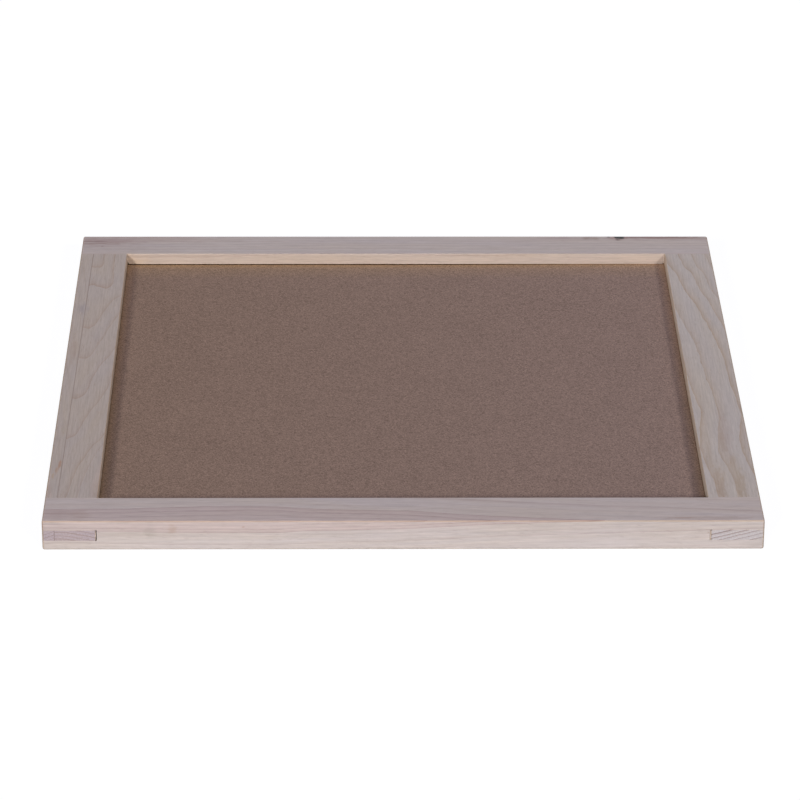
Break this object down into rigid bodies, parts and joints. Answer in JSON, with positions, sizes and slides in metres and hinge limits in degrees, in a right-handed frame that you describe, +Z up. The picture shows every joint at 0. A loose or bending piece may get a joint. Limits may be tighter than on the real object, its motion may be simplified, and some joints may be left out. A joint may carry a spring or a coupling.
{
  "type": "beehive inner cover",
  "caption": "Square wooden hive inner cover: bridle-jointed softwood frame round a loose, recessed hardboard panel, with a bee space above and below it.",
  "frame": {"origin": "middle of the underside, the plane of the four members' lower faces", "axes": "+Z up through the board's thickness, +X along the rails, -Y towards the front rail"},
  "size_m": [0.46, 0.46, 0.0205],
  "materials": {
    "softwood": "planed and lightly sanded, unfinished",
    "hardboard": "smooth pressed fibreboard, unfinished"
  },
  "bodies": {
    "root": {"front_rail": "softwood", "back_rail": "softwood", "left_stile": "softwood", "right_stile": "softwood", "hardboard_panel": "hardboard"}
  },
  "joints": []
}
